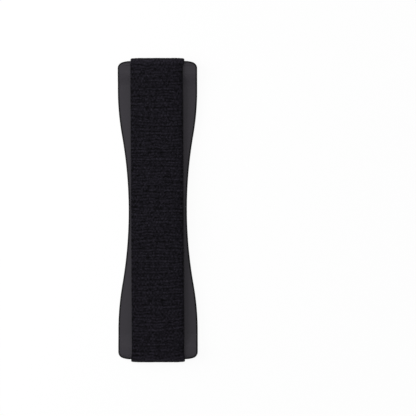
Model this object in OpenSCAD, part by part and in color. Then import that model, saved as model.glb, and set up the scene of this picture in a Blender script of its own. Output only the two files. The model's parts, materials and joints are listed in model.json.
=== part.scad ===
// Strap grip for the back of a tablet: an hourglass base plate with a ridge at each end,
// an elastic strap stretched over the ridges, and an adhesive pad under the plate.
// It lies on its pad at z = 0, with the long way along Y and the strap on top.

/* [Base plate] */
// Length of the plate from nose to nose
base_l = 103; // [92:1:130]
// Width of the plate at its two ends
base_w = 27.4; // [26:0.1:34]
// Width of the plate at its waist
waist_w = 20.1; // [19.8:0.1:24]
// Thickness of the plate along its dished middle
plate_t = 1.9; // [1.7:0.1:3]
// Height of the end ridges above the dished middle
ridge_rise = 1; // [0.6:0.1:2.5]
// Length of each ridge from the nose to where it starts to fall
ridge_l = 4; // [3:0.1:8]
// Length of the slope from the ridge down to the dished middle
ramp_l = 5; // [3:0.1:12]
// Rounding of the plate's corners, seen from above
corner_r = 2.3; // [1.6:0.1:3]
// Rounding of the bowed shoulder between the strap and each corner, seen from above
shoulder_r = 9; // [6:0.5:20]
// Rounding of the upper edge along the two long sides
side_round = 0.5; // [0.3:0.05:0.9]
// Rounding of the upper edge over each nose, where the strap bends
nose_round = 1.4; // [1:0.05:1.5]

/* [Strap] */
// Width of the woven strap
strap_w = 18.4; // [15:0.1:18.8]
// Thickness of the strap between its ribs
strap_t = 0.9; // [0.6:0.05:1]
// Height of the ribs that the cross threads make
rib_h = 0.12; // [0.05:0.01:0.2]
// Distance from one rib to the next along the strap
rib_pitch = 1; // [0.9:0.05:2.5]
// Width of the smooth selvage along each edge of the strap
selvage_w = 0.9; // [0.5:0.1:2]
// How much thinner the selvages are than the strap between its ribs
selvage_drop = 0.1; // [0.05:0.01:0.2]
// Length of each tail under the plate, from the nose inward
tail_l = 9.5; // [8:0.5:14]

/* [Strap anchors] */
// Diameter of the moulded pegs that hold the tails
peg_d = 1.8; // [1.2:0.1:2.4]
// Distance between the pegs across the strap
peg_spacing = 5.6; // [4:0.1:6.5]
// Distance from the nose to the row of pegs
peg_setback = 6; // [4.5:0.1:6.5]

/* [Adhesive pad] */
// Thickness of the foam pad
pad_t = 0.6; // [0.4:0.1:1.5]
// Margin from the plate's edge to the pad's edge
pad_margin = 0.8; // [0.3:0.1:2]

/* [Fits] */
// Gap left between the strap and the surfaces that it lies on
strap_gap = 0.05; // [0.03:0.01:0.08]
// Gap between the strap's edges or end and the walls of its pocket
pocket_gap = 0.2; // [0.1:0.05:0.4]
// Gap round each peg in its punched hole
peg_gap = 0.1; // [0.05:0.01:0.2]

/* [Hidden] */

// How far a cut runs past the surface that it opens
overrun = 1;
// Pegs in one row under each tail
peg_count = 3;
// Where the hollow of the side ends and its flare becomes straight, as shares of half the length
hollow_share = 0.5;
flare_share = 0.81;
// Shares of a rib's pitch at which it rises, is full, falls and ends, and the height there
rib_place_shares = [0, 0.22, 0.5, 0.72];
rib_height_shares = [0, 1, 1, 0];

// Steps along the side, the ramps, the corner, the shoulder and the rounded edge
side_steps = 26;
ramp_steps = 12;
corner_steps = 7;
shoulder_steps = 3;
edge_steps = 5;
bend_steps = 8;

half_l = base_l / 2;
plate_low = pad_t;
dish_z = plate_low + plate_t;
ridge_z = dish_z + ridge_rise;

selvage_t = strap_t - selvage_drop;

// The pocket under each end holds the tail flush with the plate's underside
pocket_depth = strap_t + 2 * strap_gap;
pocket_z = plate_low + pocket_depth;
pocket_w = strap_w + 2 * pocket_gap;
pocket_l = tail_l + pocket_gap;
// The nose is a full bullnose over the pocket, so what its upper round leaves is its lower round
nose_low_round = ridge_z - nose_round - pocket_z;

// The side is a hollow arc from the waist and a bulged arc that runs into the straight end
hollow_l = half_l * hollow_share;
flare_l = half_l * flare_share;
flare_slope = (base_w - waist_w) / flare_l;
function side_x(y) = abs(y) < hollow_l
    ? waist_w / 2 + flare_slope * y * y / (2 * hollow_l)
    : abs(y) < flare_l
        ? base_w / 2 - flare_slope * pow(flare_l - abs(y), 2) / (2 * (flare_l - hollow_l))
        : base_w / 2;
function side_slope(y) = y < hollow_l ? flare_slope * y / hollow_l
    : y < flare_l ? flare_slope * (flare_l - y) / (flare_l - hollow_l) : 0;

// The end is straight across the strap, then a shoulder arc turns into the corner arc
shoulder_x = pocket_w / 2;
shoulder_angle = asin((base_w / 2 - corner_r - shoulder_x) / (shoulder_r - corner_r));
corner_x = base_w / 2 - corner_r;
corner_y = half_l - shoulder_r + (shoulder_r - corner_r) * cos(shoulder_angle);

// Height of the plate's top: the dish, a smooth ramp and the flat ridge
function ease(t) = (1 - cos(180 * min(max(t, 0), 1))) / 2;
function top_z(y) = dish_z + ridge_rise * ease((abs(y) - (half_l - ridge_l - ramp_l)) / ramp_l);

// Places along the side: even steps up to the ramp, and finer ones over it
ramp_start = half_l - ridge_l - ramp_l;
side_places = concat(
    [for (i = [0 : side_steps - 1]) ramp_start * i / side_steps],
    [for (i = [0 : ramp_steps]) ramp_start + min(ramp_l, corner_y - ramp_start) * i / ramp_steps]);

// A quarter of the outline from the waist to the straight of the nose, as [x, y, angle of the way out]
quarter = concat(
    [for (y = side_places) [side_x(y), y, -atan(side_slope(y))]],
    [for (i = [0 : corner_steps]) let (a = (90 - shoulder_angle) * i / corner_steps)
        [corner_x + corner_r * cos(a), corner_y + corner_r * sin(a), a]],
    [for (i = [1 : shoulder_steps]) let (a = 90 - shoulder_angle * (1 - i / shoulder_steps))
        [shoulder_x + shoulder_r * cos(a), half_l - shoulder_r + shoulder_r * sin(a), a]]);
// The right side from the rear nose to the front nose
last = len(quarter) - 1;
stations = concat(
    [for (i = [last : -1 : 1]) [quarter[i].x, -quarter[i].y, -quarter[i].z]], quarter);

// The rounding grows from the long sides to the noses
function edge_round(a) = side_round + (nose_round - side_round) * pow(sin(a), 2);

// One station moved inward by a distance, as [x, y]
function inset(s, by) = [s.x - by * cos(s.z), s.y - by * sin(s.z)];
// A point of the right side's ring, where the share goes from the start of the rounding to the top
function ring_point(s, share) = let (r = edge_round(s.z), p = inset(s, r * (1 - cos(90 * share))))
    [p.x, p.y, top_z(s.y) - r * (1 - sin(90 * share))];
// A whole ring: up the right side, then back down the mirrored left side
function flipped(p) = [for (k = [0 : len(p) - 1]) k == 0 ? -p[k] : p[k]];
function whole_ring(points) = concat(points,
    [for (i = [len(points) - 1 : -1 : 0]) flipped(points[i])]);

rings = concat(
    [whole_ring([for (s = stations) [s.x, s.y, plate_low]])],
    [for (k = [0 : edge_steps]) whole_ring([for (s = stations) ring_point(s, k / edge_steps)])]);

// The solid plate: rings joined up the edge, and cross strips over the top and the bottom
module plate_body() {
    n = len(rings[0]);
    top = (len(rings) - 1) * n;
    function left(i) = n - 1 - i;
    walls = [for (k = [0 : len(rings) - 2], j = [0 : n - 1]) let (a = k * n, b = a + n, q = (j + 1) % n)
        [a + j, b + j, b + q, a + q]];
    under = [for (i = [0 : len(stations) - 2]) [i, i + 1, left(i + 1), left(i)]];
    over = [for (f = under) [for (i = [len(f) - 1 : -1 : 0]) f[i] + top]];
    polyhedron(points = [for (r = rings, p = r) p], faces = concat(walls, under, over), convexity = 4);
}

// Points of an arc in a plane, from one angle to another
function arc(centre, r, from, to, steps) =
    [for (i = [0 : steps]) let (a = from + (to - from) * i / steps) centre + r * [cos(a), sin(a)]];

// A profile drawn in Y and Z, drawn out across X about the middle
module across(w) {
    rotate([90, 0, 90]) linear_extrude(height = w, center = true) children();
}

// A copy of the children at each end of the grip
module both_ends() {
    children();
    mirror([0, 1, 0]) children();
}

// Places of one tail's pegs across the strap
function peg_places() = [for (i = [0 : peg_count - 1]) (i - (peg_count - 1) / 2) * peg_spacing];

// The recess under one end, with the lower round of the nose at its mouth
module tail_pocket() {
    across(pocket_w) polygon(concat(
        [[half_l - pocket_l, plate_low - overrun], [half_l - pocket_l, pocket_z]],
        arc(lower_centre, nose_low_round, -90, 0, bend_steps),
        [[half_l + overrun, lower_centre.y], [half_l + overrun, plate_low - overrun]]));
}

module base_plate() color("#38383a") {
    difference() {
        plate_body();
        both_ends() tail_pocket();
    }
    both_ends() for (x = peg_places())
        translate([x, half_l - peg_setback, plate_low])
            cylinder(d = peg_d, h = pocket_depth, $fn = 48);
}

// The two bends of the strap at one nose: over its upper round and under its lower round
strap_in_z = ridge_z + strap_gap;
upper_centre = [half_l - nose_round, ridge_z - nose_round];
lower_centre = [half_l - nose_low_round, pocket_z + nose_low_round];
upper_r = nose_round + strap_gap;
lower_r = nose_low_round + strap_gap;
tail_in_z = pocket_z - strap_gap;

// Lengths along the outer face, from the middle of the span, at which the bends and the tail start
upper_at = upper_centre.x;
lower_at = upper_at + (upper_r + strap_t) * PI / 2;
tail_at = lower_at + (lower_r + strap_t) * PI / 2;

// A point at a length along the outer face and a height out of the inner face
function strap_point(s, h) = s < upper_at ? [s, strap_in_z + h]
    : s < lower_at ? upper_centre + (upper_r + h) * turn(90 * (lower_at - s) / (lower_at - upper_at))
    : lower_centre + (lower_r + h) * turn(90 * (lower_at - s) / (tail_at - lower_at));
function turn(a) = [cos(a), sin(a)];

// The ribs go from the middle of the span to the end of the lower bend, at the nearest even pitch
rib_total = round(tail_at / rib_pitch);
ribbed_line = [for (i = [0 : rib_total - 1], k = [0 : len(rib_place_shares) - 1])
    strap_point((i + rib_place_shares[k]) * tail_at / rib_total, strap_t + rib_h * rib_height_shares[k])];
plain_line = concat([[0, strap_in_z + selvage_t]],
    arc(upper_centre, upper_r + selvage_t, 90, 0, bend_steps),
    arc(lower_centre, lower_r + selvage_t, 0, -90, bend_steps));

// One half of the strap's side profile, given the line of its outer face and its tail's thickness
module strap_half(outer_line, tail_t) {
    tail_end = half_l - tail_l;
    polygon(concat([[0, strap_in_z]], outer_line,
        [strap_point(tail_at, tail_t), [tail_end, tail_in_z - tail_t], [tail_end, tail_in_z]],
        arc(lower_centre, lower_r, -90, 0, bend_steps), arc(upper_centre, upper_r, 0, 90, bend_steps)));
}

module strap_band(w, outer_line, tail_t) {
    across(w) {
        strap_half(outer_line, tail_t);
        mirror([1, 0]) strap_half(outer_line, tail_t);
    }
}

// A plain band from edge to edge, whose strips beside the ribbed band are the selvages
module strap() color("#17171b") difference() {
    union() {
        strap_band(strap_w, plain_line, selvage_t);
        strap_band(strap_w - 2 * selvage_w, ribbed_line, strap_t);
    }
    both_ends() for (x = peg_places())
        translate([x, half_l - peg_setback, plate_low - overrun])
            cylinder(d = peg_d + 2 * peg_gap, h = pocket_depth + overrun, $fn = 48);
}

module adhesive_pad() color("#4a4a4c") linear_extrude(height = pad_t)
    polygon(whole_ring([for (s = stations) inset(s, pad_margin)]));

base_plate();
strap();
adhesive_pad();
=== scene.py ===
# %% [markdown]
# A stick-on strap grip for the back of a tablet
#
# The real grip has three pieces. An hourglass plate is moulded in charcoal plastic, with a raised
# ridge at each end. A black elastic strap, woven as a band, is stretched over the two ridges, and
# its tails are held in pockets under the plate. A foam tape covers the underside and sticks it down.
#
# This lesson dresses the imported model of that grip. Every length is in metres, +Y runs along the
# strap and +Z points away from the surface that the grip is stuck to.

# %% Load the frame
import json
import math

import bmesh
import bpy
import numpy as np
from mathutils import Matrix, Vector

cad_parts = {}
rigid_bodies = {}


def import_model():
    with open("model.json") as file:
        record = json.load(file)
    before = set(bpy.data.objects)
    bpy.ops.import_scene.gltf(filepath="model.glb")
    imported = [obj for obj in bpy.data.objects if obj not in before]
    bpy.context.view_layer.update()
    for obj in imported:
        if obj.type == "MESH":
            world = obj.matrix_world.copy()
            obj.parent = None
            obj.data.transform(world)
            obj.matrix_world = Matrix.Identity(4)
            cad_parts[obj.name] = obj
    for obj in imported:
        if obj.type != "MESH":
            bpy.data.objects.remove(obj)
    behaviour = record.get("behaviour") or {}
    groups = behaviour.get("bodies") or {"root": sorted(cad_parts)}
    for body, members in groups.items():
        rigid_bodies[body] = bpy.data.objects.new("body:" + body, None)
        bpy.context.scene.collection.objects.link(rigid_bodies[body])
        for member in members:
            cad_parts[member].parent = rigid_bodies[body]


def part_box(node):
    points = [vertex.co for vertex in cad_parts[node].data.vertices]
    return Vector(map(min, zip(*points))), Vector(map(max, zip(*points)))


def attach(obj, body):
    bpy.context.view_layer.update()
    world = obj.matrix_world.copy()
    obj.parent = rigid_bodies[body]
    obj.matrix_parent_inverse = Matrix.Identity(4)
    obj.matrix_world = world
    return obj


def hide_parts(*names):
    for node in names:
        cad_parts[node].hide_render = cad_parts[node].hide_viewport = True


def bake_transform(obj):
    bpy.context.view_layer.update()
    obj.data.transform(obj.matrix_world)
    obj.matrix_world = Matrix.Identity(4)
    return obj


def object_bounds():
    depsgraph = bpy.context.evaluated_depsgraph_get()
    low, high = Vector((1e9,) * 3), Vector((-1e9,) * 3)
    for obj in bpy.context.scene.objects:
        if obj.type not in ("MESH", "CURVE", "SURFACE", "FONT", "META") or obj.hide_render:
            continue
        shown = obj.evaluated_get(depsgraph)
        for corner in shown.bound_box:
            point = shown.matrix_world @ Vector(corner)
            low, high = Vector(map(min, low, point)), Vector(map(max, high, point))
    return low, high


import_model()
cad_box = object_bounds()
MM = 0.001
print("frame box in mm:", [[round(c / MM, 2) for c in corner] for corner in cad_box])


def add_object(name, data):
    """Puts a new object with its data into the scene, at the origin, and returns it."""
    made = bpy.data.objects.new(name, data)
    bpy.context.scene.collection.objects.link(made)
    return made


# %% [markdown]
# The camera
#
# The photograph looks straight down on the strap from far away, so the sides hardly show. The grip
# stands left of the middle of the picture. A long lens gives that flat look. The camera hangs over
# the middle of the picture and not over the grip, so nothing in the lens has to be shifted.

# %% Place the camera
PICTURE_PX = 416
GRIP_CENTRE_PX = (157.75, 210.0)
GRIP_LENGTH_PX = 304.6
GRIP_TILT_DEG = 0.13
LENS_MM = 200
SENSOR_MM = 36
NEAREST, FARTHEST = 0.01, 20
# The picture's scale holds at the height of the plate's rim
RIM_HEIGHT = 2.5 * MM

metres_per_px = (cad_box[1].y - cad_box[0].y) / GRIP_LENGTH_PX
picture_width = PICTURE_PX * metres_per_px
camera_height = RIM_HEIGHT + picture_width * LENS_MM / SENSOR_MM
camera_x = (PICTURE_PX / 2 - GRIP_CENTRE_PX[0]) * metres_per_px
camera_y = (GRIP_CENTRE_PX[1] - PICTURE_PX / 2) * metres_per_px

camera = add_object("camera", bpy.data.cameras.new("camera"))
camera.data.lens = LENS_MM
camera.data.sensor_width = SENSOR_MM
camera.data.clip_start = NEAREST
camera.data.clip_end = FARTHEST
camera.location = (camera_x, camera_y, camera_height)
camera.rotation_euler = (0, 0, -math.radians(GRIP_TILT_DEG))
bpy.context.scene.camera = camera
bpy.context.scene.view_settings.view_transform = "Standard"
print("camera at", [round(c, 4) for c in camera.location])
print("one pixel is", round(metres_per_px / MM, 4), "mm")

# %% [markdown]
# Light, background and floor
#
# A black thing on a white ground needs soft light from above and little from the sides: the tops
# of the flanks then read as charcoal, and the rounded rim falls into shadow and draws the outline,
# which painted shade on the rim makes darker still.
# A soft lamp hangs nearly straight above. A weaker one stands low on the left: it brings out the
# ribs and makes the left flank the lighter one. The world adds a little light from everywhere.
#
# The white ground is not made by more light. The floor and the world are white only for rays that
# show them, and stay plain for the rays that light the grip. A share of the floor's own shading is
# left in, so a faint shadow remains. Far from the grip that share fades out, so that the floor has
# no far edge. The floor lies a hair below the tape, so that the two never share a plane.

# %% Helpers for node trees
def place(tree, kind, **settings):
    """Adds one node to a tree and sets its plain properties."""
    node = tree.nodes.new(kind)
    for key, value in settings.items():
        setattr(node, key, value)
    return node


def wire(tree, source, target):
    """Joins an output socket to an input socket."""
    tree.links.new(source, target)


def math_node(tree, operation, first, second):
    """A Math node whose inputs are sockets or plain numbers. Returns its output socket."""
    node = place(tree, "ShaderNodeMath", operation=operation)
    for index, value in enumerate((first, second)):
        if isinstance(value, bpy.types.NodeSocket):
            wire(tree, value, node.inputs[index])
        else:
            node.inputs[index].default_value = value
    return node.outputs[0]


def seen_rays(tree):
    """One for rays that show the background (camera, glossy and transmission rays), else zero."""
    path = place(tree, "ShaderNodeLightPath")
    glossy_or_camera = math_node(
        tree, "MAXIMUM", path.outputs["Is Camera Ray"], path.outputs["Is Glossy Ray"])
    return math_node(tree, "MAXIMUM", glossy_or_camera, path.outputs["Is Transmission Ray"])


def mix_out(tree, share, plain, shown, output_kind):
    """Mixes a plain shader with a share of the shown one, and puts the mix on the output."""
    mix = place(tree, "ShaderNodeMixShader")
    wire(tree, share, mix.inputs["Fac"])
    wire(tree, plain.outputs[0], mix.inputs[1])
    wire(tree, shown.outputs[0], mix.inputs[2])
    wire(tree, mix.outputs[0], place(tree, output_kind).inputs["Surface"])


# %% The world
AMBIENT_LEVEL = 0.25
WHITE = (1, 1, 1, 1)

world = bpy.data.worlds.new("studio")
bpy.context.scene.world = world
world.use_nodes = True
tree = world.node_tree
tree.nodes.clear()
ambient, bright = (place(tree, "ShaderNodeBackground") for _ in range(2))
for background, level in ((ambient, AMBIENT_LEVEL), (bright, 1)):
    background.inputs["Color"].default_value = WHITE
    background.inputs["Strength"].default_value = level
mix_out(tree, seen_rays(tree), ambient, bright, "ShaderNodeOutputWorld")
print("light from the world:", AMBIENT_LEVEL)

# %% The floor
FLOOR_HALF = 1.5
FLOOR_Z = -0.03 * MM
FLOOR_GREY = 0.6
WHITE_SHARE = 0.93
SHADOW_REACH = (0.06, 0.3)

floor_corners = [(side * FLOOR_HALF, end * FLOOR_HALF, FLOOR_Z)
                 for side, end in ((-1, -1), (1, -1), (1, 1), (-1, 1))]
floor_mesh = bpy.data.meshes.new("floor")
floor_mesh.from_pydata(floor_corners, [], [(0, 1, 2, 3)])
floor = add_object("floor", floor_mesh)

floor_paper = bpy.data.materials.new("floor_paper")
floor_paper.use_nodes = True
tree = floor_paper.node_tree
tree.nodes.clear()
seen = seen_rays(tree)
paper_tone = place(tree, "ShaderNodeMix", data_type="RGBA")
wire(tree, seen, paper_tone.inputs["Factor"])
paper_tone.inputs["A"].default_value = (FLOOR_GREY, FLOOR_GREY, FLOOR_GREY, 1)
paper_tone.inputs["B"].default_value = WHITE
paper = place(tree, "ShaderNodeBsdfDiffuse")
wire(tree, paper_tone.outputs["Result"], paper.inputs["Color"])
glow = place(tree, "ShaderNodeEmission")
glow.inputs["Strength"].default_value = 1
# The share of white grows to one between the two distances of the shadow's reach
distance = place(tree, "ShaderNodeVectorMath", operation="LENGTH")
wire(tree, place(tree, "ShaderNodeTexCoord").outputs["Object"], distance.inputs[0])
fade = place(tree, "ShaderNodeMapRange", interpolation_type="SMOOTHSTEP")
wire(tree, distance.outputs["Value"], fade.inputs["Value"])
for socket, value in zip(("From Min", "From Max", "To Min", "To Max"), (*SHADOW_REACH, WHITE_SHARE, 1)):
    fade.inputs[socket].default_value = value
white_share = math_node(tree, "MULTIPLY", seen, fade.outputs["Result"])
mix_out(tree, white_share, paper, glow, "ShaderNodeOutputMaterial")
floor_mesh.materials.append(floor_paper)
print("near the grip the floor keeps", round(1 - WHITE_SHARE, 2), "of its own shading")

# %% The lamps
# Each lamp has its name, its side and its place in metres, and its watts
LAMPS = (
    ("top_lamp", 0.3, (-0.05, 0.15, 0.83), 2.6),
    ("side_lamp", 0.25, (-0.24, 0.05, 0.14), 0.74))


def soft_lamp(name, side, spot, watts):
    """A square lamp at a spot, aimed at the middle of the grip."""
    lamp = bpy.data.lights.new(name, "AREA")
    lamp.shape = "SQUARE"
    lamp.size = side
    lamp.energy = watts
    holder = add_object(name, lamp)
    holder.location = spot
    aim = -holder.location
    holder.rotation_euler = aim.to_track_quat("-Z", "Y").to_euler()


for lamp in LAMPS:
    soft_lamp(*lamp)

# %% [markdown]
# Surfaces as grids of points
#
# Every new piece is a surface that is worked out with numpy as whole arrays. A grid of points is
# numbered row by row, and each cell of the grid is one four-sided face. Grids that share an edge
# are put into one mesh, and their doubled points are merged, so the surface is closed.

# %% Grid helpers
MERGE_WITHIN = 1e-7


def grid_faces(rows, columns, close_columns=False):
    """Corner numbers of the cells of a grid. The last column joins the first where it is closed."""
    i, j = np.meshgrid(np.arange(rows - 1), np.arange(columns if close_columns else columns - 1),
                       indexing="ij")
    k = (j + 1) % columns
    return np.stack([i * columns + j, i * columns + k, (i + 1) * columns + k, (i + 1) * columns + j],
                    axis=-1).reshape(-1, 4)


def new_piece(name, points, faces):
    """A smooth mesh object at the origin, from an array of points and an array of four-sided faces."""
    mesh = bpy.data.meshes.new(name)
    mesh.vertices.add(len(points))
    mesh.vertices.foreach_set("co", np.asarray(points, np.float32).ravel())
    mesh.loops.add(faces.size)
    mesh.loops.foreach_set("vertex_index", np.asarray(faces, np.int32).ravel())
    mesh.polygons.add(len(faces))
    mesh.polygons.foreach_set("loop_start", np.arange(0, faces.size, 4, dtype=np.int32))
    mesh.update(calc_edges=True)
    mesh.shade_smooth()
    return add_object(name, mesh)


def joined_grids(name, grids):
    """One closed piece from several grids of points, each an array of rows, columns and XYZ."""
    points, faces, start = [], [], 0
    for grid in grids:
        points.append(grid.reshape(-1, 3))
        faces.append(grid_faces(*grid.shape[:2]) + start)
        start += grid.shape[0] * grid.shape[1]
    piece = new_piece(name, np.concatenate(points), np.concatenate(faces))
    shape = bmesh.new()
    shape.from_mesh(piece.data)
    bmesh.ops.remove_doubles(shape, verts=shape.verts, dist=MERGE_WITHIN)
    bmesh.ops.recalc_face_normals(shape, faces=shape.faces)
    shape.to_mesh(piece.data)
    shape.free()
    return piece


def open_edges(piece):
    """How many edges of a piece have other than two faces: zero on a closed surface."""
    shape = bmesh.new()
    shape.from_mesh(piece.data)
    count = sum(not edge.is_manifold for edge in shape.edges)
    shape.free()
    return count


# %% [markdown]
# The plate's form
#
# Seen from above the plate is an hourglass: each side is a hollow arc about the waist that turns
# into a bulged arc and then into a straight end, with round corners and bowed shoulders beside the
# strap. Seen from the side it is a shallow dish between two end ridges. The upper edge is rounded
# only a little along the sides and fully over the noses, where the strap has to bend.
#
# It could be cut from a block, but a loft says it better: walk along the outline, and at each
# station carry one edge profile whose radius follows the direction of the outline.

# %% The plate's sizes
plate_low, plate_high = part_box("base_plate")
HALF_LENGTH = plate_high.y
HALF_WIDTH = plate_high.x
PLATE_LOW = plate_low.z
RIDGE_Z = plate_high.z
HALF_WAIST = 10.05 * MM
DISH_Z = 2.5 * MM
RIDGE_LENGTH = 4 * MM
RAMP_LENGTH = 5 * MM
CORNER_R = 2.3 * MM
SHOULDER_R = 9 * MM
SIDE_ROUND = 0.5 * MM
NOSE_ROUND = 1.4 * MM
HOLLOW_END = 0.5 * HALF_LENGTH
FLARE_END = 0.81 * HALF_LENGTH
STEEPEST = 2 * (HALF_WIDTH - HALF_WAIST) / FLARE_END
POCKET_HALF_WIDTH = 9.4 * MM
print("plate in mm:", round(2 * HALF_WIDTH / MM, 2), "wide,", round(2 * HALF_LENGTH / MM, 2), "long")


# %% The plate's outline and height
def side_x(y):
    """Half the width at y: a parabola about the waist, then a parabola that runs into the end.
    The slope grows evenly up to the end of the hollow and falls evenly up to the end of the flare."""
    near = HALF_WAIST + STEEPEST * y ** 2 / (2 * HOLLOW_END)
    far = HALF_WIDTH - STEEPEST * np.maximum(FLARE_END - y, 0) ** 2 / (2 * (FLARE_END - HOLLOW_END))
    return np.where(y < HOLLOW_END, near, far)


def side_turn(y):
    """Angle of the outline's outward normal above +X at y: minus the arc tangent of the slope."""
    falling = np.maximum(FLARE_END - y, 0) / (FLARE_END - HOLLOW_END)
    return -np.arctan(STEEPEST * np.where(y < HOLLOW_END, y / HOLLOW_END, falling))


def top_z(y):
    """Height of the top: the dish, plus the ridge's rise times half of one minus a cosine."""
    share = np.clip((np.abs(y) - (HALF_LENGTH - RIDGE_LENGTH - RAMP_LENGTH)) / RAMP_LENGTH, 0, 1)
    return DISH_Z + (RIDGE_Z - DISH_Z) * (1 - np.cos(np.pi * share)) / 2


def right_outline(side_steps=150, corner_steps=20, shoulder_steps=8):
    """Stations from the rear nose along the right side to the front nose: x, y and normal angle.
    The corner arc turns up to the shoulder angle, and the shoulder arc from there to the nose."""
    shoulder = math.asin((HALF_WIDTH - CORNER_R - POCKET_HALF_WIDTH) / (SHOULDER_R - CORNER_R))
    corner_x = HALF_WIDTH - CORNER_R
    corner_y = HALF_LENGTH - SHOULDER_R + (SHOULDER_R - CORNER_R) * math.cos(shoulder)
    y = np.linspace(0, corner_y, side_steps + 1)
    side = np.stack([side_x(y), y, side_turn(y)], axis=-1)
    a = np.linspace(0, math.pi / 2 - shoulder, corner_steps + 1)[1:]
    corner = np.stack([corner_x + CORNER_R * np.cos(a), corner_y + CORNER_R * np.sin(a), a], axis=-1)
    b = np.linspace(math.pi / 2 - shoulder, math.pi / 2, shoulder_steps + 1)[1:]
    bow = np.stack([POCKET_HALF_WIDTH + SHOULDER_R * np.cos(b),
                    HALF_LENGTH - SHOULDER_R + SHOULDER_R * np.sin(b), b], axis=-1)
    front = np.concatenate([side, corner, bow])
    return np.concatenate([front[:0:-1] * (1, -1, -1), front])


outline = right_outline()
print("stations along one side:", len(outline))


# %% [markdown]
# The plate's mesh
#
# The right edge is one grid: stations along, edge profile up. The left edge is its mirror image.
# Strips across join the two over the top, under the bottom and at the noses. The tail pockets are
# then cut out of the underside, and three short pegs stand in each of them to hold the strap.

# %% Loft the plate
def edge_radius(turn):
    """Radius of the upper edge: from the side's to the nose's with the square of the sine of the
    normal's angle."""
    return SIDE_ROUND + (NOSE_ROUND - SIDE_ROUND) * np.sin(turn) ** 2


def edge_profile(stations, wall_steps=4, round_steps=12):
    """Points up the edge at each station: the wall, then a quarter round of the station's radius."""
    x, y, turn = (stations[:, i, None] for i in range(3))
    radius = edge_radius(turn)
    wall = np.linspace(0, 1, wall_steps, endpoint=False)
    angle = np.linspace(0, np.pi / 2, round_steps + 1)
    inward = np.concatenate([wall * 0, 1 - np.cos(angle)]) * radius
    foot = PLATE_LOW + (top_z(y) - radius - PLATE_LOW) * wall
    crown = top_z(y) - radius * (1 - np.sin(angle))
    z = np.concatenate([foot, crown], axis=1)
    return np.stack([x - inward * np.cos(turn), y - inward * np.sin(turn), z], axis=-1)


def across(right_line, left_line, steps=28):
    """A grid of straight strips between two lines of points. The strips' shares go by half of one
    minus a cosine, so they are narrow beside both lines."""
    share = (1 - np.cos(np.linspace(0, np.pi, steps + 1)))[None, :, None] / 2
    return right_line[:, None] * (1 - share) + left_line[:, None] * share


def mirrored_piece(name, right):
    """A closed piece from the grid of its right edge: the mirror image at the left, and strips
    across over the top, under the bottom and at the two noses."""
    left = right * (-1, 1, 1)
    return joined_grids(name, [
        right, left,
        across(right[:, -1], left[:, -1]),
        across(right[:, 0], left[:, 0]),
        across(right[0], left[0]),
        across(right[-1], left[-1])])


plate = mirrored_piece("grip_plate", edge_profile(outline))
print("plate body:", len(plate.data.polygons), "faces,", open_edges(plate), "open edges")

# %% [markdown]
# Cutting with a tool body
#
# Pockets and punched holes are easier to cut than to build into a grid. A closed cutter is made, a
# Boolean takes it away from the piece, and the result is baked into the mesh at once, so that no
# modifier is left waiting.

# %% Cutting helpers
POCKET_DEPTH = 1.0 * MM
POCKET_LENGTH = 9.7 * MM
POCKET_TURN_POINTS = 13
PEG_R = 0.9 * MM
PEG_HOLE_R = 1.0 * MM
PEG_SIDES = 40
PEG_SPACING = 5.6 * MM
PEG_SETBACK = 6 * MM
PEGS_PER_TAIL = 3
OVERRUN = 1 * MM

pocket_z = PLATE_LOW + POCKET_DEPTH
nose_low_round = RIDGE_Z - NOSE_ROUND - pocket_z


def cut_away(piece, cutter):
    """Takes a closed cutter away from a piece, and removes the cutter."""
    cut = piece.modifiers.new("cut", "BOOLEAN")
    cut.operation = "DIFFERENCE"
    cut.solver = "EXACT"
    cut.object = cutter
    bpy.context.view_layer.update()
    graph = bpy.context.evaluated_depsgraph_get()
    done = bpy.data.meshes.new_from_object(
        piece.evaluated_get(graph), preserve_all_data_layers=True, depsgraph=graph)
    piece.modifiers.clear()
    piece.data = done
    bpy.data.objects.remove(cutter)


def cutter_from(name, shape):
    """Turns a finished bmesh into an object, and frees it."""
    mesh = bpy.data.meshes.new(name)
    shape.to_mesh(mesh)
    shape.free()
    return add_object(name, mesh)


def peg_row(radius):
    """Upright cylinders at the places of all the pegs, as one cutter."""
    shape = bmesh.new()
    for end in (-1, 1):
        for i in range(PEGS_PER_TAIL):
            x = (i - (PEGS_PER_TAIL - 1) / 2) * PEG_SPACING
            made = bmesh.ops.create_cone(
                shape, cap_ends=True, segments=PEG_SIDES, radius1=radius, radius2=radius,
                depth=POCKET_DEPTH + 4 * OVERRUN)
            bmesh.ops.translate(shape, verts=made["verts"],
                                vec=(x, end * (HALF_LENGTH - PEG_SETBACK), PLATE_LOW))
    return cutter_from("pegs", shape)


def pocket_tool():
    """Both tail pockets as one cutter: a flat ceiling that turns down round the nose's lower edge.
    The turn is a quarter circle about a point one lower radius in from the nose and the ceiling."""
    angle = np.linspace(-math.pi / 2, 0, POCKET_TURN_POINTS)
    centre = (HALF_LENGTH - nose_low_round, pocket_z + nose_low_round)
    profile = np.concatenate([
        [(HALF_LENGTH - POCKET_LENGTH, PLATE_LOW - OVERRUN), (HALF_LENGTH - POCKET_LENGTH, pocket_z)],
        np.stack([centre[0] + nose_low_round * np.cos(angle),
                  centre[1] + nose_low_round * np.sin(angle)], axis=-1),
        [(HALF_LENGTH + OVERRUN, centre[1]), (HALF_LENGTH + OVERRUN, PLATE_LOW - OVERRUN)]])
    n = len(profile)
    shape = bmesh.new()
    for end in (-1, 1):
        sides = []
        for x in (-POCKET_HALF_WIDTH, POCKET_HALF_WIDTH):
            sides.append([shape.verts.new((x, end * y, z)) for y, z in profile])
        shape.faces.new(sides[0])
        shape.faces.new(sides[1])
        for i in range(n):
            k = (i + 1) % n
            shape.faces.new((sides[0][i], sides[0][k], sides[1][k], sides[1][i]))
    bmesh.ops.recalc_face_normals(shape, faces=shape.faces)
    return cutter_from("pockets", shape)


# %% Cut the tail pockets and leave the pegs standing
SHARP_ABOVE_DEG = 40

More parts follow.
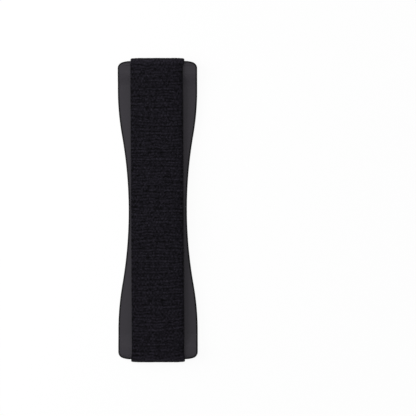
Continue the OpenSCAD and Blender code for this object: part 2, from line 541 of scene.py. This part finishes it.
pockets = pocket_tool()
cut_away(pockets, peg_row(PEG_R))
cut_away(plate, pockets)
plate.data.set_sharp_from_angle(angle=math.radians(SHARP_ABOVE_DEG))
print("plate:", len(plate.data.polygons), "faces,", open_edges(plate), "open edges")

# %% [markdown]
# The painted rim shade
#
# The faces of the plate have the fine texture of their mould. The rounded rim is painted darker, as
# painted shade, so it draws a thin dark line round the plate. Every point keeps a number
# that says how far it belongs to that line: it depends on the distance from the outline seen from
# above, and it ends where the upright wall begins.

# %% Find the painted rim shade
RIM_WIDTH = (0.50 * MM, 0.58 * MM)
WALL_STARTS = 0.7


def keep_values(piece, name, values):
    """Stores one number for each point of a piece."""
    layer = piece.data.attributes.new(name, "FLOAT", "POINT")
    layer.data.foreach_set("value", np.asarray(values, np.float32).ravel())


def point_places(piece):
    """The points of a piece as an array of XYZ."""
    places = np.zeros(len(piece.data.vertices) * 3, np.float32)
    piece.data.vertices.foreach_get("co", places)
    return places.reshape(-1, 3).astype(float)


def ease(t):
    """Zero up to 0, one from 1 on, and 3t squared less 2t cubed between."""
    t = np.clip(t, 0, 1)
    return t * t * (3 - 2 * t)


def rim_shade_share(points):
    """One on the rim that gets painted shade and zero elsewhere. The nearest station of the outline
    gives the distance inward and the radius of the round, and depth over radius is one where the wall
    starts."""
    gap = np.hypot(np.abs(points[:, None, 0]) - outline[None, :, 0],
                   points[:, None, 1] - outline[None, :, 1])
    depth = (top_z(points[:, 1]) - points[:, 2]) / edge_radius(outline[gap.argmin(axis=1), 2])
    on_rim = 1 - ease((gap.min(axis=1) - RIM_WIDTH[0]) / (RIM_WIDTH[1] - RIM_WIDTH[0]))
    return on_rim * (1 - ease((depth - WALL_STARTS) / (1 - WALL_STARTS)))


painted_rim_shade = rim_shade_share(point_places(plate))
keep_values(plate, "painted_rim_shade", painted_rim_shade)
print("points on the smooth rim:", int((painted_rim_shade > 0.5).sum()), "of", len(painted_rim_shade))

# %% [markdown]
# The foam tape
#
# The tape is die-cut foam: the plate's outline drawn inward by a small margin. Its cut edge bulges a
# little where the plate presses on it. The same stations as the plate's give its outline.

# %% Make the foam tape
PAD_MARGIN = 0.8 * MM
PAD_BULGE = 0.06 * MM
pad_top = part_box("adhesive_pad")[1].z


def pad_edge(stations, steps=8):
    """Points up the cut edge: inward by the margin, less a parabola that is highest at mid height."""
    x, y, turn = (stations[:, i, None] for i in range(3))
    share = np.linspace(0, 1, steps + 1)
    inward = PAD_MARGIN - PAD_BULGE * 4 * share * (1 - share)
    z = np.broadcast_to(share * pad_top, inward.shape) + 0 * x
    return np.stack([x - inward * np.cos(turn), y - inward * np.sin(turn), z], axis=-1)


pad = mirrored_piece("foam_tape_pad", pad_edge(outline))
pad.data.set_sharp_from_angle(angle=math.radians(SHARP_ABOVE_DEG))
print("foam tape:", len(pad.data.polygons), "faces,", open_edges(pad), "open edges")

# %% [markdown]
# The strap's path
#
# The strap is one length of woven elastic. It runs straight over the two ridges, turns down over
# each nose, turns in under it, and lies flat in its pocket. So its shape is a section carried along
# a path, and one function says where the path is and which way is out of the cloth.

# %% Walk along the strap
STRAP_GAP = 0.05 * MM
STRAP_THICK = 0.9 * MM
TAIL_LENGTH = 9.5 * MM
strap_in_z = RIDGE_Z + STRAP_GAP
upper_r = NOSE_ROUND + STRAP_GAP
lower_r = nose_low_round + STRAP_GAP
upper_centre = (HALF_LENGTH - NOSE_ROUND, RIDGE_Z - NOSE_ROUND)
lower_centre = (HALF_LENGTH - nose_low_round, pocket_z + nose_low_round)
# Lengths along the middle of the cloth, from the middle of the span, where each stretch ends
span_end = upper_centre[0]
upper_end = span_end + (upper_r + STRAP_THICK / 2) * math.pi / 2
lower_end = upper_end + (lower_r + STRAP_THICK / 2) * math.pi / 2
tail_end = lower_end + lower_centre[0] - (HALF_LENGTH - TAIL_LENGTH)


def strap_path(along):
    """Inner point, outward direction and turn of the strap at a signed length from its middle.
    The turn is zero over the span and grows by a quarter circle over each of the two bends."""
    reach = np.abs(along)
    first = np.clip((reach - span_end) / (upper_end - span_end), 0, 1)
    second = np.clip((reach - upper_end) / (lower_end - upper_end), 0, 1)
    turn = (first + second) * np.pi / 2
    out_y, out_z = np.sin(turn), np.cos(turn)
    past = np.maximum(reach - lower_end, 0)
    over = reach < upper_end
    radius = np.where(over, upper_r, lower_r)
    centre_y = np.where(over, np.minimum(reach, upper_centre[0]), lower_centre[0] - past)
    centre_z = np.where(over, upper_centre[1], lower_centre[1])
    side = np.sign(along)
    inner = np.stack([side * (centre_y + radius * out_y), centre_z + radius * out_z], axis=-1)
    outward = np.stack([side * out_y, out_z], axis=-1)
    return inner, outward, turn


print("the strap is", round(2 * tail_end / MM, 1), "mm long from tail to tail as it is stretched")

# %% [markdown]
# The weave
#
# The face of the elastic shows its cross threads as fine ribs, about one to the millimetre. They are
# not even: a rib wanders along the strap as it crosses it, the pitch drifts, and in patches the
# lengthwise threads come up and part the ribs. The yarn takes the light unevenly too. Fine knots lie
# on the ribs, and soft bands of lighter and darker rows run over them. A regular pattern would look
# printed, so each of these follows a smooth noise of its own.
#
# The relief is worked out in the mesh, because it is what gives the strap its look. The heights and
# the tones are also kept in attributes, so that the material can paint shade into the gaps between the
# threads.

# %% Smooth noise on arrays
TABLE_SIZE = 128
noise_table = np.random.default_rng(20).random((TABLE_SIZE, TABLE_SIZE))


def blend_noise(u, v):
    """Random values at whole u and v with an eased blend between them. The four corner values are
    mixed first along u and then along v."""
    iu, iv = np.floor(u).astype(int), np.floor(v).astype(int)
    eu, ev = ease(u - iu), ease(v - iv)
    near, far = ((1 - eu) * noise_table[iu % TABLE_SIZE, w] + eu * noise_table[(iu + 1) % TABLE_SIZE, w]
                 for w in (iv % TABLE_SIZE, (iv + 1) % TABLE_SIZE))
    return near * (1 - ev) + far * ev


def patches(x, s, cell, start=(0, 0)):
    """The noise in cells of a size across and along, from its own start in the table."""
    return blend_noise(x / cell[0] + start[0], s / cell[1] + start[1])


print("noise table:", noise_table.shape)

# %% The relief of the weave
RIB_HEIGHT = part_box("strap")[1].z - strap_in_z - STRAP_THICK
RIB_PITCH, WARP_PITCH = 1.0 * MM, 1.15 * MM
# A cell is the size of a noise's patches across and along, and a start is its place in the table
RIB_WANDER, RIB_CELL = 0.7 * MM, (3.1 * MM, 4 * MM)
PITCH_WANDER, PITCH_CELL, PITCH_START = 0.5 * MM, 7 * MM, 5
CREST_POWER = 0.7
WARP_CELL, WARP_START = (2.4 * MM, 2.6 * MM), (40, 0)
WARP_GAIN, WARP_OFFSET = 4, 1.6
SUNK_RIB = 0.25
HIGHEST = 0.95
KNOT_WIDTH, KNOT_LENGTH, KNOT_START = 0.42 * MM, 0.40 * MM, (60, 17)
BAND_PITCH, BAND_WANDER = 1.66 * MM, 2.6 * MM
BAND_CELL, BAND_START = (12 * MM, 8 * MM), (30, 80)
SWELL_LEAST, SWELL_RANGE = 0.3, 1.4
SWELL_CELL, SWELL_START = (4 * MM, 3 * MM), (50, 20)
MIDDLE_TONE, KNOT_TONE, BAND_TONE = 0.5, 0.86, 0.12


def weave(x, s):
    """Height share of the weave and tone of its threads at x across and s along.
    Ribs and warp threads are powers of the sizes of sines, and a noise in patches says which of the
    two lies on top. The tone is a fine noise of knots plus bands, a sine whose phase wanders and
    whose strength swells in patches."""
    moved = s + RIB_WANDER * (patches(x, s, RIB_CELL) - 0.5)
    moved = moved + PITCH_WANDER * (blend_noise(0 * x + PITCH_START, s / PITCH_CELL) - 0.5)
    rib = np.floor(moved / RIB_PITCH)
    crest = np.abs(np.sin(np.pi * moved / RIB_PITCH)) ** CREST_POWER
    warp = np.abs(np.sin(np.pi * (x / WARP_PITCH + rib / 2))) ** CREST_POWER
    warp_shows = np.clip(WARP_GAIN * patches(x, s, WARP_CELL, WARP_START) - WARP_OFFSET, 0, 1)
    height = crest * (1 - warp_shows) + (SUNK_RIB * crest + (1 - SUNK_RIB) * warp) * warp_shows
    knot = blend_noise(s / KNOT_LENGTH + KNOT_START[1], x / KNOT_WIDTH + KNOT_START[0])
    phase = s + BAND_WANDER * (patches(x, s, BAND_CELL, BAND_START) - 0.5)
    swell = SWELL_LEAST + SWELL_RANGE * patches(x, s, SWELL_CELL, SWELL_START)
    band = swell * np.sin(2 * np.pi * phase / BAND_PITCH)
    return height * HIGHEST, MIDDLE_TONE + KNOT_TONE * (knot - 0.5) + BAND_TONE * band


print("ribs are", round(RIB_HEIGHT / MM, 2), "mm high")

# %% [markdown]
# The strap's section
#
# One loop round the section is a fine outer face, a round edge, a plain inner face and the other
# edge. The cloth is a little thinner towards its woven edges, so its face is crowned. Elastic under
# pull is narrower over the span than on the noses. A strap that is laid by hand also lies a little
# off the middle and turned by a fraction of a degree, and its tails keep the line of their pockets.

# %% Weave the strap
SELVAGE, SELVAGE_DROP = 0.9 * MM, 0.1 * MM
CROWN_WIDTH = 2.8 * MM
EDGE_ROUND = 0.32 * MM
EDGE_RELIEF = 0.25
SPAN_NARROWING = 0.17 * MM
NOSE_WIDENING = 0.1 * MM
# The strap widens between these two distances past the end of the span
WIDE_FROM, WIDE_FULL = -1 * MM, 1.2 * MM
STRAP_SHIFT, STRAP_SKEW = -0.15 * MM, math.radians(-0.18)
OUTER_STEPS, INNER_STEPS, EDGE_STEPS = 86, 12, 6
FINE_STEP, TAIL_STEP = 0.14 * MM, 0.6 * MM
strap_half_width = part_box("strap")[1].x

fine = np.linspace(0, lower_end, round(lower_end / FINE_STEP) + 1)
tail = np.linspace(lower_end, tail_end, round((tail_end - lower_end) / TAIL_STEP) + 1)[1:]
half_walk = np.concatenate([fine, tail])
walk = np.concatenate([-half_walk[:0:-1], half_walk])[:, None]

# One loop round the section: outer face, right edge, inner face, left edge
outer = np.linspace(-1, 1, OUTER_STEPS + 1)
inner = np.linspace(1, -1, INNER_STEPS + 1)
bend = np.linspace(0, np.pi, EDGE_STEPS + 1)[1:-1]
place_share = np.concatenate([outer, np.ones(len(bend)), inner, -np.ones(len(bend))])[None]
edge_share = np.concatenate([outer * 0, np.sin(bend), inner * 0, -np.sin(bend)])[None]
height_share = np.concatenate([
    outer * 0 + 1, (1 + np.cos(bend)) / 2, inner * 0, (1 - np.cos(bend)) / 2])[None]
on_face = np.concatenate([outer * 0 + 1, bend * 0, inner * 0, bend * 0])[None]

path_inner, path_out, path_turn = strap_path(walk[:, 0])
past_nose = np.abs(walk[:, 0]) - span_end
at_nose = ease((past_nose - WIDE_FROM) / (WIDE_FULL - WIDE_FROM))
half_width = strap_half_width + NOSE_WIDENING * at_nose - SPAN_NARROWING * (1 - at_nose)
x = place_share * (half_width[:, None] - EDGE_ROUND) + edge_share * EDGE_ROUND
from_edge = half_width[:, None] - np.abs(x)
body, crown = (ease((from_edge - EDGE_ROUND) / (inset - EDGE_ROUND))
               for inset in (SELVAGE, CROWN_WIDTH))
thread, tone = weave(x + 0 * walk, walk + 0 * x)
thick = STRAP_THICK - SELVAGE_DROP * (1 - crown * on_face)
relief = RIB_HEIGHT * thread * on_face * (EDGE_RELIEF + (1 - EDGE_RELIEF) * body)
height = thick * height_share + relief
off_line = (STRAP_SHIFT + math.tan(STRAP_SKEW) * walk) * (1 - at_nose[:, None])
strap_points = np.stack([
    x + off_line,
    path_inner[:, None, 0] + path_out[:, None, 0] * height,
    path_inner[:, None, 1] + path_out[:, None, 1] * height], axis=-1)
rows, columns = strap_points.shape[:2]
strap = new_piece("woven_strap", strap_points.reshape(-1, 3), grid_faces(rows, columns, True))
print("strap grid:", rows, "by", columns)

# %% [markdown]
# What the strap's material needs to know
#
# Each point keeps the height of its thread and its tone. The tone is painted lighter where the cloth
# starts to bend over a nose, as a painted highlight, and darker at the crowned edges, as painted shade.
# The cloth coordinates say in millimetres where a point lies on the flat strap.

# %% Give the strap its values and coordinates, and close its ends
THREAD_AT_EDGE, THREAD_RISE = 0.7, 0.3
PLAIN_THREAD = 0.6
# How much lighter the tone is painted on the bends (a painted highlight) and how much darker at the
# crowned edges (painted shade)
PAINTED_BEND_HIGHLIGHT = 0.35
PAINTED_EDGE_SHADE = 0.085
HIGHLIGHT_RISES_OVER, HIGHLIGHT_GONE_AT, HIGHLIGHT_FADES_OVER = (math.radians(degrees) for degrees in (20, 75, 30))


def close_ends(piece):
    """Fills the open rims of a tube and turns all its faces outward."""
    shape = bmesh.new()
    shape.from_mesh(piece.data)
    rims = [edge for edge in shape.edges if edge.is_boundary]
    bmesh.ops.holes_fill(shape, edges=rims, sides=0)
    bmesh.ops.recalc_face_normals(shape, faces=shape.faces)
    shape.to_mesh(piece.data)
    shape.free()


# The thread height later sets painted shade in the gaps between the threads
on_outer = thread * on_face * (THREAD_AT_EDGE + THREAD_RISE * body)
keep_values(strap, "thread", on_outer + PLAIN_THREAD * (1 - on_face))
bend_highlight_share = ease(path_turn / HIGHLIGHT_RISES_OVER) * ease((HIGHLIGHT_GONE_AT - path_turn) / HIGHLIGHT_FADES_OVER)
# The kept tone is the yarn's own tone plus a painted highlight at the start of each bend and painted
# shade at the crowned edges
keep_values(strap, "tone", tone + PAINTED_BEND_HIGHLIGHT * bend_highlight_share[:, None] - PAINTED_EDGE_SHADE * (1 - crown))
across_and_along = np.stack([x + 0 * walk, walk + 0 * x], axis=-1).reshape(-1, 2)
cloth = strap.data.uv_layers.new(name="cloth")
corner_points = np.zeros(len(strap.data.loops), np.int32)
strap.data.loops.foreach_get("vertex_index", corner_points)
cloth.data.foreach_set("uv", (across_and_along[corner_points] / MM).astype(np.float32).ravel())
close_ends(strap)
cut_away(strap, peg_row(PEG_HOLE_R))
print("strap:", len(strap.data.polygons), "faces,", open_edges(strap), "open edges")

# %% [markdown]
# Finishes
#
# All three finishes have a fine grain: the plate from its spark-eroded mould, the foam from its
# cells, the elastic from its fibres. So the grain is one node group with its own size and depth in
# each material. It gives a fine grain, a broad mottle and a height, and each material decides
# what they do.

# %% The shared grain group
FINE_DETAIL, FINE_ROUGHNESS, BROAD_DETAIL = 3, 0.6, 2
HEIGHT_POWER = 2.0


def grain_group():
    """Inputs: Vector, Size in metres, and Spread in metres. Outputs: Grain, Mottle, Height."""
    group = bpy.data.node_groups.new("surface_grain", "ShaderNodeTree")
    group.interface.new_socket("Vector", in_out="INPUT", socket_type="NodeSocketVector")
    for name, usual in (("Size", 0.3 * MM), ("Spread", 6 * MM)):
        socket = group.interface.new_socket(name, in_out="INPUT", socket_type="NodeSocketFloat")
        socket.default_value = usual
    for name in ("Grain", "Mottle", "Height"):
        group.interface.new_socket(name, in_out="OUTPUT", socket_type="NodeSocketFloat")
    source = place(group, "NodeGroupInput")
    result = place(group, "NodeGroupOutput")
    fine_noise, broad_noise = (place(group, "ShaderNodeTexNoise") for _ in range(2))
    fine_noise.inputs["Detail"].default_value = FINE_DETAIL
    fine_noise.inputs["Roughness"].default_value = FINE_ROUGHNESS
    broad_noise.inputs["Detail"].default_value = BROAD_DETAIL
    for noise, name in ((fine_noise, "Size"), (broad_noise, "Spread")):
        wire(group, source.outputs["Vector"], noise.inputs["Vector"])
        wire(group, math_node(group, "DIVIDE", 1.0, source.outputs[name]), noise.inputs["Scale"])
    wire(group, fine_noise.outputs["Fac"], result.inputs["Grain"])
    wire(group, broad_noise.outputs["Fac"], result.inputs["Mottle"])
    # Moulded and fibrous grain is mostly flat with low humps, so the height is the noise squared
    height = math_node(group, "POWER", fine_noise.outputs["Fac"], HEIGHT_POWER)
    wire(group, height, result.inputs["Height"])
    return group


surface_grain = grain_group()
print("grain group:", [socket.name for socket in surface_grain.interface.items_tree])


# %% Helpers for the finishes
def finish_material(name, piece):
    """Gives a piece one new material with a Principled shader. Returns its tree and the shader."""
    material = bpy.data.materials.new(name)
    material.use_nodes = True
    tree = material.node_tree
    tree.nodes.clear()
    shader = place(tree, "ShaderNodeBsdfPrincipled")
    wire(tree, shader.outputs[0], place(tree, "ShaderNodeOutputMaterial").inputs["Surface"])
    piece.data.materials.clear()
    piece.data.materials.append(material)
    return tree, shader


def grain_on(tree, size, spread, uv_map=None):
    """A grain node fed with Object coordinates, or with a UV map. Returns the node."""
    node = place(tree, "ShaderNodeGroup", node_tree=surface_grain)
    node.inputs["Size"].default_value = size
    node.inputs["Spread"].default_value = spread
    if uv_map:
        source = place(tree, "ShaderNodeUVMap", uv_map=uv_map)
        wire(tree, source.outputs["UV"], node.inputs["Vector"])
    else:
        wire(tree, place(tree, "ShaderNodeTexCoord").outputs["Object"], node.inputs["Vector"])
    return node


def kept_value(tree, name):
    """The socket of a number that the piece keeps for each of its points."""
    return place(tree, "ShaderNodeAttribute", attribute_name=name).outputs["Fac"]


def ramp(tree, value, low, high):
    """A value from zero to one turned into a number between low and high. Returns the socket."""
    node = place(tree, "ShaderNodeMapRange")
    wire(tree, value, node.inputs["Value"])
    node.inputs["To Min"].default_value = low
    node.inputs["To Max"].default_value = high
    return node.outputs["Result"]


def product(tree, first, *others):
    """All the values multiplied, one after the other. Returns the socket."""
    for value in others:
        first = math_node(tree, "MULTIPLY", first, value)
    return first


def shaded(tree, colour, value):
    """A colour multiplied by a value socket. Returns the socket."""
    node = place(tree, "ShaderNodeVectorMath", operation="SCALE")
    node.inputs[0].default_value = colour
    wire(tree, value, node.inputs["Scale"])
    return node.outputs[0]


def bumped(tree, height, depth, shader):
    """Feeds a height socket through a Bump of a depth in metres into the shader's normal."""
    bump = place(tree, "ShaderNodeBump")
    bump.inputs["Strength"].default_value = 1
    bump.inputs["Distance"].default_value = depth
    wire(tree, height, bump.inputs["Height"])
    wire(tree, bump.outputs["Normal"], shader.inputs["Normal"])


# %% [markdown]
# Moulded charcoal plastic
#
# The plate is matte from a fine mould texture and very even. The grain breaks its shine up, and a
# broad mottle moves its colour by a few parts in a hundred.

# %% The plate's plastic
PLATE_COLOUR = (0.0362, 0.0335, 0.0394)
PLATE_GRAIN, PLATE_SPREAD = 0.22 * MM, 9 * MM
PLATE_MOTTLE, PLATE_SPECKLE = (0.94, 1.06), (0.92, 1.08)
# Share of the plate's colour left on the rounded rim: painted shade
RIM_SHADE_TONE = 0.08
PLATE_ROUGHNESS = (0.50, 0.66)
PLATE_SPECULAR = 0.08
PLATE_RELIEF = 0.02 * MM

tree, shader = finish_material("plate_plastic", plate)
grain = grain_on(tree, PLATE_GRAIN, PLATE_SPREAD)
# The tone also darkens the rounded rim to a small share of its colour: painted shade that draws the
# dark outline
plate_tone = product(tree, ramp(tree, grain.outputs["Mottle"], *PLATE_MOTTLE),
                     ramp(tree, grain.outputs["Grain"], *PLATE_SPECKLE),
                     ramp(tree, kept_value(tree, "painted_rim_shade"), 1, RIM_SHADE_TONE))
wire(tree, shaded(tree, PLATE_COLOUR, plate_tone), shader.inputs["Base Color"])
wire(tree, ramp(tree, grain.outputs["Grain"], *PLATE_ROUGHNESS), shader.inputs["Roughness"])
shader.inputs["Specular IOR Level"].default_value = PLATE_SPECULAR
bumped(tree, grain.outputs["Height"], PLATE_RELIEF, shader)
print("plate:", plate.data.materials[0].name)

# %% [markdown]
# Black woven elastic
#
# The cloth coordinates and the kept values tie the colour to the threads. Crests of ribs are a soft
# bluish black and the gaps between them are painted darker, as painted shade. The fibres are a fine
# noise, a little longer across than along because the yarn of the ribs runs that way. Their tone swings
# widely, because single fibres catch the light. A little sheen stands for the fuzz.

# %% The strap's elastic
STRAP_COLOUR = (0.0073, 0.0065, 0.0093)
STRAP_GRAIN_MM, STRAP_SPREAD_MM = 0.25, 7
FIBRES_PER_MM = (2.0, 2.8, 1)
FIBRE_DETAIL = 3
PAINTED_GAP_SHADE_TONES, YARN_AND_PAINTED_LIGHT_TONES = (0.25, 1.40), (0.1, 1.9)
FIBRE_TONES, STRAP_MOTTLE = (-0.3, 2.3), (0.97, 1.03)
STRAP_ROUGHNESS = (0.82, 0.98)
STRAP_SPECULAR = 0.05
SHEEN, SHEEN_ROUGHNESS = 0.02, 0.5
STRAP_RELIEF = 0.04 * MM

tree, shader = finish_material("strap_weave", strap)
grain = grain_on(tree, STRAP_GRAIN_MM, STRAP_SPREAD_MM, uv_map="cloth")
fibre_scale = place(tree, "ShaderNodeMapping")
fibre_scale.inputs["Scale"].default_value = FIBRES_PER_MM
wire(tree, place(tree, "ShaderNodeUVMap", uv_map="cloth").outputs["UV"], fibre_scale.inputs["Vector"])
fibres = place(tree, "ShaderNodeTexNoise")
fibres.inputs["Scale"].default_value = 1
fibres.inputs["Detail"].default_value = FIBRE_DETAIL
wire(tree, fibre_scale.outputs["Vector"], fibres.inputs["Vector"])
# Low thread heights darken the colour: painted shade in the gaps between the threads
# The kept tone carries the yarn's own tones together with the painted highlight on the bends and the
# painted shade at the edges
strap_tone = product(tree, ramp(tree, kept_value(tree, "thread"), *PAINTED_GAP_SHADE_TONES),
                     ramp(tree, kept_value(tree, "tone"), *YARN_AND_PAINTED_LIGHT_TONES),
                     ramp(tree, fibres.outputs["Fac"], *FIBRE_TONES),
                     ramp(tree, grain.outputs["Mottle"], *STRAP_MOTTLE))
wire(tree, shaded(tree, STRAP_COLOUR, strap_tone), shader.inputs["Base Color"])
wire(tree, ramp(tree, fibres.outputs["Fac"], *STRAP_ROUGHNESS), shader.inputs["Roughness"])
shader.inputs["Specular IOR Level"].default_value = STRAP_SPECULAR
shader.inputs["Sheen Weight"].default_value = SHEEN
shader.inputs["Sheen Roughness"].default_value = SHEEN_ROUGHNESS
fuzz = math_node(tree, "ADD", fibres.outputs["Fac"], grain.outputs["Height"])
bumped(tree, fuzz, STRAP_RELIEF, shader)
print("strap:", strap.data.materials[0].name)

# %% [markdown]
# Foam tape
#
# Only the tape's cut edge shows, as a thin dull grey line under the plate: closed foam cells, no
# shine, and a tone that changes from cell to cell.

# %% The tape's foam
FOAM_COLOUR = (0.060, 0.060, 0.062)
FOAM_GRAIN, FOAM_SPREAD = 0.12 * MM, 4 * MM
FOAM_TONES = (0.6, 1.3)
FOAM_ROUGHNESS = 0.95
FOAM_SPECULAR = 0.1
FOAM_RELIEF = 0.04 * MM

tree, shader = finish_material("foam_tape", pad)
grain = grain_on(tree, FOAM_GRAIN, FOAM_SPREAD)
foam_tone = ramp(tree, grain.outputs["Grain"], *FOAM_TONES)
wire(tree, shaded(tree, FOAM_COLOUR, foam_tone), shader.inputs["Base Color"])
shader.inputs["Roughness"].default_value = FOAM_ROUGHNESS
shader.inputs["Specular IOR Level"].default_value = FOAM_SPECULAR
bumped(tree, grain.outputs["Height"], FOAM_RELIEF, shader)
print("foam tape:", pad.data.materials[0].name)

# %% [markdown]
# What each piece stands for, and how it moves
#
# The plate and the tape ride on the base. The strap is elastic: when its middle is pulled out, its
# bends and tails stay on the plate, and the span rises in two straight runs to a rounded top. A
# blend between the two bodies would take one weight for each point; here the weight is worked out
# from the place along the span and printed.

# %% Tie the pieces to the frame
FINGER_ROUND = 5 * MM

for piece, node, slot in ((plate, "base_plate", "plate_plastic"),
                          (strap, "strap", "strap_weave"),
                          (pad, "adhesive_pad", "foam_tape")):
    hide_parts(node)
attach(plate, "base")
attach(pad, "base")
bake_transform(strap)


def pull_weights(points):
    """How much each point rises with a pull at the middle: zero from the noses outward and under
    the plate, one in the middle, and along a line between, with the tip rounded by a root of
    squares as by a finger."""
    reach = np.sqrt(points[:, 1] ** 2 + FINGER_ROUND ** 2)
    nose = math.hypot(span_end, FINGER_ROUND)
    weight = np.clip((nose - reach) / (nose - FINGER_ROUND), 0, 1)
    return np.where(points[:, 2] > upper_centre[1], weight, 0)


weights = pull_weights(point_places(strap))
print("pull weights from", weights.min(), "to", round(weights.max(), 3))
